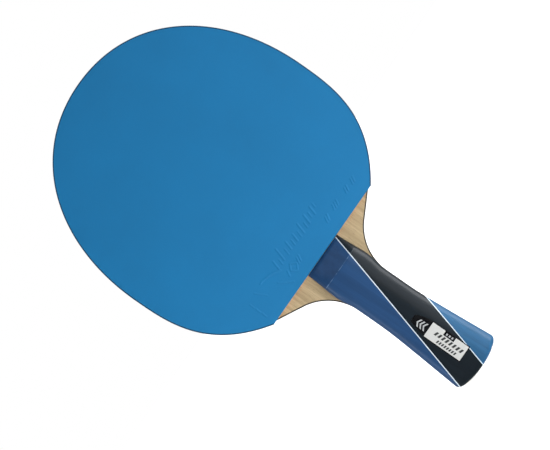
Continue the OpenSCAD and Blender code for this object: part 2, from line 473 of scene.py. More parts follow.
# ---------------------------------------------------------------- materials
def rubber_material(name, colour, rim_shade_colour):
    """Smooth moulded rubber: faint cloudiness, a fine skin, and painted shade along its knife-cut rim."""
    m = Shader(name, 0.42, Specular_IOR_Level=0.25)
    cloud = m.noise(m.stretched(38, 38, 38), 3, 0.55)
    speck = m.noise(m.stretched(0.9, 0.9, 0.9), 4, 0.6)
    base = m.ramp(cloud, (0.25, times(colour, 0.95)), (0.75, times(colour, 1.05)))
    base = m.blend(m.ranged(speck, 0.35, 0.75, 0.0, 0.12), base, times(colour, 0.8))
    # Painted shade: the rim attribute darkens the sheet towards its cut outline.
    base = m.blend(m.ranged(m.attribute("rim"), 0.15, 0.9, 0.0, 1.0), base, rim_shade_colour)
    m.colour(base)
    m.roughness(m.product(cloud, speck), 0.5, 0.38)
    skin = m.noise(m.stretched(0.35, 0.35, 0.35), 3, 0.55)
    wave = m.noise(m.stretched(9, 9, 9), 2, 0.5)
    return m.bump((wave, 0.03), (skin, 0.006))


def pimple_material(name, colour):
    m = Shader(name, 0.6, Specular_IOR_Level=0.3)
    shade = m.noise(m.stretched(1.5, 1.5, 1.5), 3, 0.6)
    m.colour(m.ramp(shade, (0.3, times(colour, 0.7)), (0.7, colour)))
    return m.bump((m.noise(m.stretched(0.3, 0.3, 0.3), 3, 0.6), 0.01))


def sponge_material():
    """Open-pored foam, cut with a knife, with painted shade in its pores."""
    m = Shader("sponge_foam", 0.85, Specular_IOR_Level=0.2)
    pores = m.cells(m.stretched(0.42, 0.42, 0.42))
    small = m.cells(m.stretched(0.2, 0.2, 0.2))
    cloud = m.noise(m.stretched(7, 7, 7), 3, 0.6)
    base = m.ramp(cloud, (0.3, (0.62, 0.24, 0.055)), (0.7, (0.70, 0.29, 0.075)))
    # Painted shade in the pores: darker at the centres of the large and small cells.
    base = m.blend(m.ranged(pores, 0.16, 0.42, 0.65, 0.0), base, (0.30, 0.10, 0.02))
    base = m.blend(m.ranged(small, 0.1, 0.4, 0.3, 0.0), base, (0.38, 0.13, 0.028))
    m.colour(base)
    return m.bump((pores, 0.12), (small, 0.05))


# Colour of the painted shade on the sanded wing edges.
PAINTED_EDGE_SHADE = (0.03, 0.025, 0.018)


def wood_material(name, light, dark, pore, figure_width=2.2, seal=0.0):
    """Sliced veneer with its grain along the handle: bands, fine fibres, short dark pores and painted shade
    on the sanded edges.
    """
    rough = 0.6
    m = Shader(name, rough, Specular_IOR_Level=0.35, Coat_Weight=seal, Coat_Roughness=0.35)
    bands = m.noise(m.stretched(figure_width, figure_width, 95), 3, 0.55, 0.35)
    fibres = m.noise(m.stretched(0.22, 0.22, 14), 4, 0.6)
    pores = m.noise(m.stretched(0.16, 0.16, 3.2), 2, 0.5)
    middle = tuple((a + b) / 2 for a, b in zip(light, dark))
    base = m.ramp(bands, (0.32, dark), (0.5, middle), (0.62, light))
    base = m.blend(m.ranged(fibres, 0.35, 0.7, 0.0, 0.5), base, times(dark, 0.82))
    base = m.blend(m.ranged(pores, 0.6, 0.7, 0.0, 0.65), base, pore)
    # Painted shade: the edge attribute darkens the sanded rounding.
    base = m.blend(m.ranged(m.attribute("edge"), 0.0, 0.3, 0.0, 0.96), base, PAINTED_EDGE_SHADE)
    m.colour(base)
    m.roughness(fibres, rough - 0.08, rough + 0.1)
    return m.bump((fibres, 0.02), (pores, 0.03))


def carbon_material():
    """Black fibre cloth in resin, seen as a thin dark line with painted glints on its bundles and fibres.
    """
    m = Shader("carbon_cloth", 0.4, Specular_IOR_Level=0.3)
    bundle_glints = m.node("ShaderNodeTexChecker")
    bundle_glints.inputs["Scale"].default_value = 1.0
    m.join(m.stretched(1.1, 40, 1.1), bundle_glints.inputs["Vector"])
    fibres = m.noise(m.stretched(0.1, 0.1, 1.5), 3, 0.6)
    # Painted glints: lighter checks and fibre streaks across the dark cloth.
    base = m.blend(bundle_glints.outputs["Fac"], (0.018, 0.018, 0.02), (0.045, 0.045, 0.05))
    m.colour(m.blend(m.ranged(fibres, 0.4, 0.7, 0.0, 0.4), base, (0.09, 0.09, 0.095)))
    return m.bump((fibres, 0.01))


def dyed_wood_material(name, colour, grain, contrast, crease_highlight):
    """Wood dyed through and lacquered: soft grain under a satin coat, and a painted highlight along the
    crease.
    """
    m = Shader(name, 0.36, Specular_IOR_Level=0.18, Coat_Weight=0.1, Coat_Roughness=0.22)
    bands = m.noise(m.stretched(3.2, 3.2, 80), 3, 0.55, 0.4)
    fibres = m.noise(m.stretched(0.3, 0.3, 18), 4, 0.6)
    patches = m.noise(m.stretched(3.5, 3.5, 3.5), 3, 0.6)
    base = m.ramp(bands, (0.3, times(colour, 1 - contrast)), (0.7, times(colour, 1 + contrast)))
    base = m.blend(m.ranged(fibres, 0.42, 0.72, 0.0, 0.3), base, grain)
    # Painted highlight: a patchy lighter line on the crease rows.
    highlight_mask = m.product(m.ranged(patches, 0.38, 0.62), m.attribute("crease_highlight"))
    m.colour(m.blend(highlight_mask, base, crease_highlight))
    m.roughness(fibres, 0.32, 0.44)
    return m.bump((fibres, 0.012), (m.noise(m.stretched(6, 6, 6), 2, 0.5), 0.02))


def glue_material():
    m = Shader("dried_glue", 0.5, Specular_IOR_Level=0.4)
    cloud = m.noise(m.stretched(4, 4, 4), 4, 0.6)
    m.colour(m.ramp(cloud, (0.3, (0.62, 0.58, 0.46)), (0.7, (0.78, 0.75, 0.64))))
    return m.bump((cloud, 0.02))


def badge_black_material():
    m = Shader("badge_black", 0.3, Specular_IOR_Level=0.2)
    cloud = m.noise(m.stretched(2.5, 2.5, 2.5), 3, 0.6)
    m.colour(m.ramp(cloud, (0.3, (0.002, 0.002, 0.003)), (0.7, (0.004, 0.0045, 0.006))))
    m.roughness(cloud, 0.24, 0.34)
    return m.bump((cloud, 0.008))


def badge_silver_material():
    """Silver foil with a fine brushed grain across the handle."""
    m = Shader("badge_silver", 0.42, Metallic=0.15)
    lines = m.noise(m.stretched(9, 9, 0.12), 3, 0.6)
    m.colour(m.ramp(lines, (0.3, (0.56, 0.56, 0.54)), (0.7, (0.66, 0.66, 0.64))))
    m.roughness(lines, 0.36, 0.5)
    return m.bump((lines, 0.006))


def ink_material(name, colour):
    m = Shader(name, 0.45, Specular_IOR_Level=0.4)
    cloud = m.noise(m.stretched(0.6, 0.6, 0.6), 3, 0.6)
    m.colour(m.ramp(cloud, (0.3, times(colour, 0.85)), (0.7, colour)))
    return m.bump((cloud, 0.004))


# ---------------------------------------------------------------- blade
BARE_FROM = NECK_LOW + 1
BARE_TO = COVER_BOTTOM + 1
BARE_FADE_IN = 6.0
BARE_FADE_OUT = 3.0
SANDED_SHARE = 0.8
WORN_BAND = 0.8


def bareness(z):
    """1 where the wings' edge is bare, fading to 0 under the handle and the coverings."""
    return ease((z - BARE_FROM) / BARE_FADE_IN) * (1 - ease((z - BARE_TO) / BARE_FADE_OUT))


def ply_piece(node, slot, near, far, material):
    """One ply between two distances from the middle plane, its bare wing edges sanded round."""
    sign = SIGN[node.split("_")[0]] if node != "core_ply" else 1.0
    loop = blade_loop(EDGE_STEP)
    steps = 5 if far > CARBON_HALF else 2
    loops = []
    edge = []
    for n in range(steps + 1):
        depth = near + (far - near) * n / steps
        over = max(0.0, depth - (BLADE_HALF - WING_SANDING))
        sanded = WING_SANDING - math.sqrt(max(WING_SANDING**2 - over**2, 0.0))
        ring = []
        for p, normal in loop:
            bare = bareness(p.y)
            q = p - normal * sanded * bare * SANDED_SHARE
            ring.append((q.x, sign * depth, q.y))
            # The edge value marks the sanded rounding, where the wood is darkened as painted shade.
            edge.append(bare * min(1.0, over / WING_SANDING))
        loops.append(ring)
    cap = [p - normal * WORN_BAND for p, normal in loop]
    loops.append([(q.x, sign * far, q.y) for q in cap])
    edge += [0.0] * len(loop)
    piece = slab(node.replace("ply", "sheet"), loops, material, sign < 0, sharp=30, layers={"edge": edge})
    stand_for(piece, slot, node)


def blade():
    """Seven plies: pale faces, carbon under them, brown inner plies and a thick light core."""
    face = wood_material("face_wood", (0.575, 0.44, 0.256), (0.405, 0.30, 0.162), (0.20, 0.14, 0.075),
                         seal=0.05)
    inner = wood_material("inner_wood", (0.33, 0.20, 0.10), (0.25, 0.14, 0.06), (0.12, 0.06, 0.025))
    core = wood_material("core_wood", (0.52, 0.41, 0.25), (0.42, 0.31, 0.175), (0.28, 0.19, 0.10),
                         figure_width=4.0)
    carbon = carbon_material()
    ply_piece("core_ply", "core_wood", -CORE_HALF, CORE_HALF, core)
    for side in SIGN:
        ply_piece(f"{side}_inner_ply", "inner_wood", CORE_HALF, INNER_HALF, inner)
        ply_piece(f"{side}_carbon_ply", "carbon_weave", INNER_HALF, CARBON_HALF, carbon)
        ply_piece(f"{side}_face_ply", "face_wood", CARBON_HALF, BLADE_HALF, face)


# ---------------------------------------------------------------- coverings
# Sheet: its solid skin, its rounded rim and the painted shade line beside it, weaker along the foot
SKIN = 0.75
RIM_ROUND = 0.28
RIM_SHADE_LINE = 0.2
RIM_STEP = 0.7
RIM_SHADE_FADE = 0.4
FOOT_RIM_SHADE = 0.35
UNDERCUT = 0.06
UNDERCUT_HEIGHT = 0.1

# Pimples under the sheet, in rows of a triangular pattern
PIMPLE_PITCH = 2.0
PIMPLE_ROW = 0.866 * PIMPLE_PITCH
PIMPLE_START = 0.6
PIMPLE_RADIUS = 0.8
PIMPLE_FOOT = 1.12 * PIMPLE_RADIUS
PIMPLE_SIDES = 12
PIMPLE_OUT = 0.3
PIMPLE_IN = 6.5
CUT_BACK = 0.02

# Sponge
SPONGE_INSET = 0.03
SPONGE_WAVER = 0.05
SPONGE_ROWS = 5
SPONGE_SEED = {"front": 7, "rear": 11}

# Relief near the lower edge, and the grids of points that carry it
RELIEF = 0.2
RELIEF_SOFT = 0.2
RELIEF_GRID = 0.36
RELIEF_REACH = RELIEF_SOFT + 2.2 * RELIEF_GRID
RELIEF_MARGIN = 2.0
FACE_GRID = 4.0
FACE_CLEAR = 3.0
FACE_INSET = 1.2
MAIN_ROW = 118.4
MAIN_LEAN = 16
LOW_ROW = 110.2
LOW_LEAN = 30
LOW_WIDTH = 0.7


def bar(x, z, length, width, lean):
    """A straight relief mark: (one end, other end, half-width)."""
    a = math.radians(lean)
    arm = Vector((math.sin(a), math.cos(a))) * length / 2
    return Vector((x, z)) - arm, Vector((x, z)) + arm, width / 2


def chain(points, width):
    """A bent relief mark as a run of bars."""
    return [(a, b, width / 2) for a, b in zip(points, points[1:])]


def lozenge(x, z, size, width):
    """The outline of a square that stands on its corner."""
    corners = [Vector((x, z + size)), Vector((x + size, z)), Vector((x, z - size)), Vector((x - size, z))]
    return chain(corners + corners[:1], width)


def main_row():
    """A row of long and short leaning bars: (x, lift above the row, length)."""
    tall = ((-18.2, -0.2, 4.8), (-12.4, 1.2, 7.2), (-6.0, 0.2, 4.6), (-0.6, -0.2, 4.2), (5.0, 0.2, 5.8))
    tall += ((10.8, 0.4, 5.2), (16.2, 0.6, 4.6))
    short = ((-15.3, -1.2, 3.2), (-9.2, -0.9, 3.6), (-3.3, -0.8, 3.2), (2.2, -1.0, 3.4))
    short += ((7.9, -1.0, 3.2), (13.5, 0.2, 3.0), (18.8, 1.6, 2.4))
    marks = [bar(x, MAIN_ROW + lift, length, 0.8, MAIN_LEAN) for x, lift, length in tall]
    return marks + [bar(x, MAIN_ROW + lift, length, 0.6, MAIN_LEAN) for x, lift, length in short]


def bow():
    """A falling arc beside the main row."""
    left, length = -31, 12
    high, fall = 119.2, 4.6
    steps = 8
    points = [Vector((left + length * n / steps, high - fall * (n / steps) ** 2)) for n in range(steps + 1)]
    return chain(points, 0.7)


def relief_marks():
    """Plain relief near the lower edge: rows of leaning bars, a dashed line, a lozenge and a bow."""
    marks = main_row() + bow()
    marks += [bar(-35.3, 115.8, 6.8, 0.6, -26), bar(-22.5, 108.8, 8.5, 0.7, -40)]
    marks += [bar(-43, 108.2 + 3.9 * n, 2.9, 0.55, 4) for n in range(3)]
    marks += lozenge(-13.6, 110, 2.6, 0.6)
    marks += [bar(x, LOW_ROW, 3.0, LOW_WIDTH, LOW_LEAN) for x in (-18.0, -9.6, -8.0, 16.4, 18.0)]
    right = (23.8, 25.4, 27.0, 34.6, 36.2, 40.4, 42.0)
    marks += [bar(x, LOW_ROW + 0.6, 2.8, LOW_WIDTH, LOW_LEAN) for x in right]
    return marks


def distance_to_marks(p, marks):
    """Distance from p to the nearest mark's edge; negative inside it."""
    nearest = 99.0
    for a, b, half in marks:
        along = b - a
        t = min(max((p - a).dot(along) / along.length_squared, 0.0), 1.0)
        nearest = min(nearest, (p - a - along * t).length - half)
    return nearest


def face_points(marks):
    """Loose points of the playing face: wide apart where it is flat, close round the marks."""
    low_x = min(min(a.x, b.x) for a, b, _ in marks) - RELIEF_MARGIN
    high_x = max(max(a.x, b.x) for a, b, _ in marks) + RELIEF_MARGIN
    low_z = min(min(a.y, b.y) for a, b, _ in marks) - RELIEF_MARGIN
    high_z = max(max(a.y, b.y) for a, b, _ in marks) + RELIEF_MARGIN
    points = []
    for row in range(round((high_z - low_z) / RELIEF_GRID)):
        for column in range(round((high_x - low_x) / RELIEF_GRID)):
            p = Vector((low_x + (column + row % 2 / 2) * RELIEF_GRID, low_z + row * RELIEF_GRID))
            if distance_to_marks(p, marks) < RELIEF_REACH:
                points.append(p)
    for row in range(round((COVER_TOP - COVER_BOTTOM) / FACE_GRID)):
        for column in range(round(2 * COVER_HALF / FACE_GRID)):
            x = -COVER_HALF + (column + row % 2 / 2) * FACE_GRID
            p = Vector((x, COVER_BOTTOM + (row + 0.5) * FACE_GRID))
            if distance_to_marks(p, marks) > FACE_CLEAR:
                points.append(p)
    return points


def relief_height(p, marks):
    """How far the face stands out at p."""
    return RELIEF * ease(0.5 - distance_to_marks(p, marks) / (2 * RELIEF_SOFT))


def rim_profile():
    """The sheet's rim from its underside to its face: (distance in from the outline, depth)."""
    base = SHEET_OUT - SKIN - RELIEF
    top = SHEET_OUT - RELIEF
    profile = [(UNDERCUT, base), (0.0, base + UNDERCUT_HEIGHT), (0.0, top - RIM_ROUND)]
    for n in range(1, 5):
        a = math.pi / 2 * n / 4
        profile.append((RIM_ROUND * (1 - math.cos(a)), top - RIM_ROUND * (1 - math.sin(a))))
    return profile + [(RIM_ROUND + RIM_SHADE_LINE, top)]


def topsheet_piece(side, slot, material, marks):
    """The smooth sheet: a rounded knife-cut rim, raised marks, and a plain underside."""
    sign = SIGN[side]
    loop = cover_loop(RIM_STEP)
    count = len(loop)
    profile = rim_profile()
    vertices = []
    rim = []
    for inset, depth in profile:
        vertices += [((p - n * inset).x, sign * depth, (p - n * inset).y) for p, n in loop]
        # rim: where the sheet is darkened as painted shade, weaker along the foot.
        rim += [FOOT_RIM_SHADE if n.y < -0.99 else 1.0 for _, n in loop]
    faces = ring_faces(len(profile), count)
    faces.append(tuple(reversed(range(count))))
    first = len(vertices) - count
    outer = [Vector((x, z)) for x, _, z in vertices[first:]]
    inside = [p - n * (RIM_ROUND + RIM_SHADE_LINE + RIM_SHADE_FADE) for p, n in loop]
    loose = [p for p in face_points(marks) if inside_loop(p, inside, FACE_INSET)]
    points, triangles, origin = filled(outer, inside + loose)
    place = {}
    for index, p in enumerate(points):
        old = [i for i in origin[index] if i < count]
        if old:
            place[index] = first + old[0]
        else:
            place[index] = len(vertices)
            vertices.append((p.x, sign * (SHEET_OUT - RELIEF + relief_height(p, marks)), p.y))
            rim.append(0.0)
    faces += [tuple(place[i] for i in reversed(t)) for t in triangles]
    faces = facing(faces, sign < 0)
    piece = mesh_piece(f"{side}_rubber_sheet", vertices, faces, material, sharp=50, layers={"rim": rim})
    stand_for(piece, slot, f"{side}_topsheet")


def inside_loop(p, loop, margin):
    """True if p lies in the closed loop and at least margin from its points."""
    odd = False
    previous = loop[-1]
    for q in loop:
        if (q.y > p.y) != (previous.y > p.y):
            if p.x < q.x + (previous.x - q.x) * (p.y - q.y) / (previous.y - q.y):
                odd = not odd
        previous = q
    return odd and min((q - p).length for q in loop) > margin


def pimple(centre, point, normal, sign):
    """Vertices and faces of one pimple, cut flush where it crosses the rim at point."""
    vertices = []
    for radius, depth in ((PIMPLE_RADIUS, SPONGE_OUT), (PIMPLE_FOOT, SHEET_OUT - SKIN - RELIEF)):
        for n in range(PIMPLE_SIDES):
            a = 2 * math.pi * n / PIMPLE_SIDES
            q = centre + radius * Vector((math.cos(a), math.sin(a)))
            out = (q - point).dot(normal)
            if out > -CUT_BACK:
                q = q - (out + CUT_BACK) * normal
            vertices.append((q.x, sign * depth, q.y))
    faces = ring_faces(2, PIMPLE_SIDES)
    faces += [tuple(reversed(range(PIMPLE_SIDES))), tuple(range(PIMPLE_SIDES, 2 * PIMPLE_SIDES))]
    return vertices, facing(faces, sign > 0)


def pimple_field(side, slot, material):
    """The outer rows of pimples under a sheet."""
    loop = cover_loop(EDGE_STEP)
    rows = round((COVER_TOP - COVER_BOTTOM) / PIMPLE_ROW) + 1
    columns = round(2 * COVER_HALF / PIMPLE_PITCH) + 1
    vertices = []
    faces = []
    for row in range(rows):
        for column in range(columns):
            x = -COVER_HALF + (column + row % 2 / 2) * PIMPLE_PITCH
            centre = Vector((x, COVER_BOTTOM + PIMPLE_START + row * PIMPLE_ROW))
            point, normal = min(loop, key=lambda pn: (pn[0] - centre).length_squared)
            if -PIMPLE_OUT < (point - centre).dot(normal) < PIMPLE_IN:
                made, sides = pimple(centre, point, normal, SIGN[side])
                faces += [tuple(len(vertices) + i for i in f) for f in sides]
                vertices += made
    piece = mesh_piece(f"{side}_rim_pimples", vertices, faces, material, sharp=40)
    stand_for(piece, slot)


def sponge_piece(side, material):
    """The sponge layer, whose cut edge wavers a little."""
    sign = SIGN[side]
    dice = random.Random(SPONGE_SEED[side])
    loop = cover_loop(EDGE_STEP)
    loops = []
    for n in range(SPONGE_ROWS + 1):
        depth = SPONGE_IN + (SPONGE_OUT - SPONGE_IN) * n / SPONGE_ROWS
        ring = [p - normal * (SPONGE_INSET + dice.random() * SPONGE_WAVER) for p, normal in loop]
        loops.append([(q.x, sign * depth, q.y) for q in ring])
    piece = slab(f"{side}_foam_layer", loops, material, sign < 0, sharp=50)
    stand_for(piece, "sponge", f"{side}_sponge")


def coverings():
    """Blue in front and black behind: a sheet, its pimples, a sponge and a film of glue."""
    foam = sponge_material()
    glue = glue_material()
    marks = relief_marks()
    blue = (0.0077, 0.177, 0.405)
    black = (0.012, 0.012, 0.0135)
    for side, slot, colour in (("front", "blue_rubber", blue), ("rear", "black_rubber", black)):
        # The darker copy of the sheet's colour is the painted shade along its rim.
        sheet = rubber_material(slot, colour, times(colour, 0.3))
        topsheet_piece(side, slot, sheet, marks)
        pimple_field(side, slot, pimple_material(f"{slot}_pimples", times(colour, 0.8)))
        sponge_piece(side, foam)
        film = frame["nodes"][f"{side}_glue_film"].data
        film.materials.clear()
        film.materials.append(glue)


# ---------------------------------------------------------------- handle
def depth_at(x, s):
    """Depth of the scale's surface above the blade at (x, station s), its slope included."""
    across = min(abs(x) / scale_half(s), 1.0)
    dome = scale_depth(s) * (1 - across**SECTION_POWER) ** (1 / SECTION_POWER)
    slope = (WAIST_DEPTH - RAMP_END) / (SCALE_TOP - RAMP_HEIGHT)
    share = (RAMP_END + (SCALE_TOP - s) * slope) / WAIST_DEPTH
    meet = max(CREASE_ROUND - abs(1 - share), 0.0) / CREASE_ROUND
    return dome * (min(1.0, share) - meet * meet * CREASE_ROUND / 4)


def edge_angle(x, half):
    """Angle round the section at which its surface lies at x."""
    across = min(abs(x) / half, 1.0)
    return math.acos(math.copysign(across ** (SECTION_POWER / 2), x))


def line_x(offset, s):
    """Where an inlay line crosses station s, allowing for the crowned butt."""
    x = offset + (s - INLAY_DATUM) * INLAY_RUN
    for _ in range(4):
        x = offset + (s + crown_lift(x, s) - INLAY_DATUM) * INLAY_RUN
    return x


def strip_rows(left, right):
    """Stations where a strip has some width, with the angles of its two edges."""
    stations = [BUTT_EDGE * (1 - math.cos(math.pi / 2 * n / EDGE_STEPS)) for n in range(EDGE_STEPS)]
    count = round((SCALE_TOP - BUTT_EDGE) / SCALE_ROW)
    stations += [BUTT_EDGE + (SCALE_TOP - BUTT_EDGE) * n / count for n in range(count + 1)]
    stations = sorted(stations + [RAMP_HEIGHT - CREASE_LINE, RAMP_HEIGHT, RAMP_HEIGHT + CREASE_LINE])
    rows = []
    for s in stations:
        half = scale_half(s)
        start = -half if left is None else max(-half, min(half, line_x(left, s)))
        end = half if right is None else max(-half, min(half, line_x(right, s)))
        if end - start > 1e-4:
            rows.append((s, edge_angle(start, half), edge_angle(end, half)))
    return rows


def strip_surface(rows):
    """Outer points of a strip, row by row from the butt: (x, station, depth above the blade)."""
    points = []
    for s, first, last in rows:
        half = scale_half(s)
        for n in range(SCALE_COLUMNS + 1):
            a = first + (last - first) * n / SCALE_COLUMNS
            x = half * math.copysign(abs(math.cos(a)) ** (2 / SECTION_POWER), math.cos(a))
            points.append((x, s, depth_at(x, s)))
    return points


def strip_back(surface):
    """Where a strip meets the blade: its whole lowest row, then both ends of every other row."""
    width = SCALE_COLUMNS + 1
    below = surface[:width]
    for start in range(width, len(surface), width):
        below += [surface[start], surface[start + SCALE_COLUMNS]]
    return [(x, s, 0.0) for x, s, _ in below]


def strip_faces(rows):
    """Faces of a strip of so many rows: its surface, butt, two glued sides, back and upper end."""
    width = SCALE_COLUMNS + 1
    back = rows * width
    left = [back] + [back + width + 2 * r for r in range(rows - 1)]
    right = [back + SCALE_COLUMNS] + [back + width + 2 * r + 1 for r in range(rows - 1)]
    faces = []
    for r in range(rows - 1):
        for n in range(SCALE_COLUMNS):
            a = r * width + n
            faces.append((a, a + 1, a + width + 1, a + width))
    for n in range(SCALE_COLUMNS):
        faces.append((back + n, back + n + 1, n + 1, n))
    for r in range(rows - 1):
        a, b = r * width, (r + 1) * width
        faces.append((a, b, left[r + 1], left[r]))
        faces.append((a + SCALE_COLUMNS, right[r], right[r + 1], b + SCALE_COLUMNS))
        if r == 0:
            foot = tuple(back + n for n in reversed(range(width)))
            faces.append(foot + (left[1], right[1]))
        else:
            faces.append((left[r], left[r + 1], right[r + 1], right[r]))
    end = (rows - 1) * width
    faces.append(tuple(end + n for n in range(width)) + (right[-1], left[-1]))
    return faces


def strip_piece(node, slot, left, right, material):
    """One glued strip of a handle scale, as a closed piece."""
    sign = SIGN[node.split("_")[0]]
    rows = strip_rows(left, right)
    surface = strip_surface(rows)
    vertices = []
    crease_highlight = []
    for x, s, depth in surface + strip_back(surface):
        vertices.append((-sign * x, sign * (BLADE_HALF + depth), s + crown_lift(x, s)))
        # The crease row carries the painted highlight.
        crease_highlight.append(1.0 if s == RAMP_HEIGHT and len(crease_highlight) < len(surface) else 0.0)
    faces = strip_faces(len(rows))
    piece = mesh_piece(node + "_wood", vertices, faces, material, sharp=34, layers={"crease_highlight": crease_highlight})
    tidy(piece)
    stand_for(piece, slot, node)


def tidy(piece):
    """Joins points that fall together, drops what collapses, and points every face outwards."""
    work = bmesh.new()
    work.from_mesh(piece.data)
    bmesh.ops.remove_doubles(work, verts=work.verts, dist=1e-3 * MM)
    bmesh.ops.dissolve_degenerate(work, edges=work.edges, dist=1e-3 * MM)
    bmesh.ops.recalc_face_normals(work, faces=work.faces)
    if work.calc_volume(signed=True) < 0:
        bmesh.ops.reverse_faces(work, faces=work.faces)
    work.to_mesh(piece.data)
    work.free()


def handle():
    """Front and rear scales, each of five strips across the handle."""
    # The two blues are one dyed wood: the left strip's copy is darkened as painted shade, away from the key
    # light.
    blue = dyed_wood_material("blue_wood", (0.016, 0.062, 0.165), (0.010, 0.038, 0.105), 0.14,
                              crease_highlight=(0.15, 0.25, 0.42))
    # A lighter copy of the same blue: painted light on the right strip, which faces the key light.
    lit_blue = dyed_wood_material("blue_wood_painted_light", (0.020, 0.106, 0.228), (0.012, 0.064, 0.146), 0.14,
                             crease_highlight=(0.2, 0.34, 0.5))
    black = dyed_wood_material("black_wood", (0.0058, 0.0112, 0.0168), (0.011, 0.018, 0.025), 0.15,
                               crease_highlight=(0.06, 0.07, 0.08))
    white = dyed_wood_material("white_veneer", (0.58, 0.69, 0.76), (0.50, 0.58, 0.63), 0.04,
                               crease_highlight=(0.6, 0.7, 0.76))
    upper = (UPPER_INLAY - INLAY_HALF, UPPER_INLAY + INLAY_HALF)
    lower = (LOWER_INLAY - INLAY_HALF, LOWER_INLAY + INLAY_HALF)
    for side in SIGN:
        strip_piece(f"{side}_scale_left", "blue_wood", None, upper[0], blue)
        strip_piece(f"{side}_inlay_upper", "white_veneer", upper[0], upper[1], white)
        strip_piece(f"{side}_scale_band", "black_wood", upper[1], lower[0], black)
        strip_piece(f"{side}_inlay_lower", "white_veneer", lower[0], lower[1], white)
        strip_piece(f"{side}_scale_right", "blue_wood", lower[1], None, lit_blue)


# ---------------------------------------------------------------- badge
BADGE_LOW, BADGE_HIGH = span("badge_backing", Z)
PANEL_HIGH = span("badge_panel", Z)[1]
BADGE_HALF = span("badge_backing", X)[1]
BADGE_BORDER = 0.5
BADGE_SHOULDER = PANEL_HIGH - 1
BADGE_BOW_STEPS = 12
TIP_LEFT = -1.9
TIP_RIGHT = 2.1
NOTCH_LOW = 19.6
NOTCH_HIGH = 26.2
NOTCH_DEPTH = 2.5
PLATE_SUNK = 0.05
PLATE_RISE = 0.10
PANEL_RISE = 0.14
INK = 0.015
PALE_INK = 0.02
BADGE_GRID = 0.8
BADGE_CLEAR = 0.3
BADGE_STEP = 0.6


def divided(corners):
    """A closed outline with points no further apart than one step."""
    out = []
    for a, b in zip(corners, corners[1:] + corners[:1]):
        count = max(1, math.ceil((b - a).length / BADGE_STEP))
        out += [a.lerp(b, n / count) for n in range(count)]
    return out


def badge_corners():
    """The plate: square below, with a bowed right side and a slanted left one up to its tip."""
    rise = BADGE_HIGH - BADGE_SHOULDER
    inward = BADGE_HALF - TIP_RIGHT
    radius = (rise * rise + inward * inward) / (2 * inward)
    side = []
    for n in range(BADGE_BOW_STEPS + 1):
        up = rise * n / BADGE_BOW_STEPS
        side.append(Vector((BADGE_HALF - radius + math.sqrt(radius**2 - up**2), BADGE_SHOULDER + up)))
    low = [Vector((-BADGE_HALF, BADGE_LOW)), Vector((BADGE_HALF, BADGE_LOW))]
    return low + side + [Vector((TIP_LEFT, BADGE_HIGH)), Vector((-BADGE_HALF, BADGE_SHOULDER))]


def panel_corners():
    """The foil: a rectangle with a notch in its right side."""
    edge = BADGE_HALF - BADGE_BORDER
    low = BADGE_LOW + BADGE_BORDER
    notch = edge - NOTCH_DEPTH
    corners = [(-edge, low), (edge, low), (edge, NOTCH_LOW), (notch, NOTCH_LOW), (notch, NOTCH_HIGH)]
    corners += [(edge, NOTCH_HIGH), (edge, PANEL_HIGH), (-edge, PANEL_HIGH)]
    return [Vector(c) for c in corners]


def inner_grid(loop):
    """Points of a square grid that lie well inside a loop."""
    low = Vector((min(p.x for p in loop), min(p.y for p in loop)))
    high = Vector((max(p.x for p in loop), max(p.y for p in loop)))
    grid = []
    for row in range(1, math.ceil((high.y - low.y) / BADGE_GRID)):
        for column in range(1, math.ceil((high.x - low.x) / BADGE_GRID)):
            p = low + Vector((column, row)) * BADGE_GRID
            if inside_loop(p, loop, BADGE_CLEAR):
                grid.append(p)
    return grid


def on_handle(outlines, under, over):
    """Vertices and faces of thin plates that follow the front of the handle."""
    vertices = []
    faces = []
    for corners in outlines:
        loop = divided(corners)
        count = len(loop)
        points, triangles, _ = filled(loop, inner_grid(loop))
        start = len(vertices)
        for rise in (under, over):
            vertices += [(p.x, -BLADE_HALF - depth_at(p.x, p.y) - rise, p.y) for p in points]
        top = start + len(points)
        faces += [tuple(top + i for i in t) for t in triangles]
        faces += [tuple(start + i for i in reversed(t)) for t in triangles]
        for i in range(count):
            j = (i + 1) % count
            faces.append((start + i, start + j, top + j, top + i))
    return vertices, faces


def badge_piece(name, slot, outlines, under, over, material, *nodes):
    vertices, faces = on_handle(outlines, under, over)
    piece = mesh_piece(name, vertices, faces, material, sharp=40)
    tidy(piece)
    stand_for(piece, slot, *nodes)


def slanted(x, z, width, height, lean):
    """A leaning bar: width along the handle, height across it."""
    near = [Vector((x, z)), Vector((x, z + width))]
    return near + [Vector((x + height, z + width + lean)), Vector((x + height, z + lean))]


def arrow(z):
    """A chevron that points up the handle."""
    left, middle, right = -2.4, -0.2, 2.0
    rise, width = 1.3, 0.9
    under = [Vector((left, z)), Vector((middle, z + rise)), Vector((right, z))]
    return under + [Vector((p.x, p.y + width)) for p in reversed(under)]


